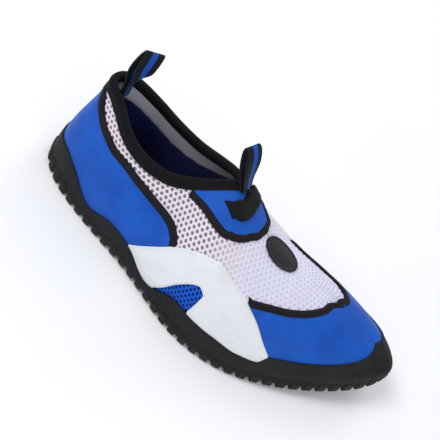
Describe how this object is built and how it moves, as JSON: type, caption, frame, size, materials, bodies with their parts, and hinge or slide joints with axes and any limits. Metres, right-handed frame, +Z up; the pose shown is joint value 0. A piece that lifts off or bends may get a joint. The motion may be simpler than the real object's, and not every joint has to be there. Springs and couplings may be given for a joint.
{
  "type": "water shoe",
  "caption": "Slip-on water shoe for the right foot: blue stretch panels, white mesh and side overlays, black rubber sole with toe bumper, pull loops at tongue and heel.",
  "frame": {"origin": "middle of the flat heel block of the tread, on the plane where the sole stands", "axes": "+X to the toe, +Y to the wearer's left, which is the inner side of this right shoe, +Z up"},
  "size_m": [0.293, 0.1137, 0.1302],
  "materials": {
    "outsole_rubber": "matte black moulded rubber with a fine grain",
    "mesh_cloth": "white air mesh with a faint lilac cast over a grey lining",
    "blue_stretch_fabric": "bright blue stretch fabric with a soft satin sheen",
    "blue_mesh": "blue mesh with dark holes",
    "white_synthetic": "smooth cool white synthetic, satin",
    "black_tape": "black knitted binding tape, matte",
    "black_trim": "matte black rubbery trim with a rounded face",
    "webbing": "black woven webbing with a blue stripe",
    "insole_foam": "dark navy cloth faced foam, matte",
    "badge_rubber": "matte black moulded rubber with a raised rim"
  },
  "bodies": {
    "root": {"outsole": "outsole_rubber", "insole": "insole_foam", "upper": "mesh_cloth", "collar_binding": "black_tape", "heel_quarter": "blue_stretch_fabric", "heel_trim": "black_trim", "side_overlay_lateral": "white_synthetic", "side_overlay_medial": "white_synthetic", "side_window_lateral": "blue_mesh", "side_window_medial": "blue_mesh", "toe_cap": "blue_stretch_fabric", "toe_trim": "black_trim", "tongue_panel": "blue_stretch_fabric", "tongue_trim": "black_trim", "tongue_patch": "black_tape", "tongue_loop": "webbing", "heel_loop": "webbing", "badge": "badge_rubber"}
  },
  "joints": []
}
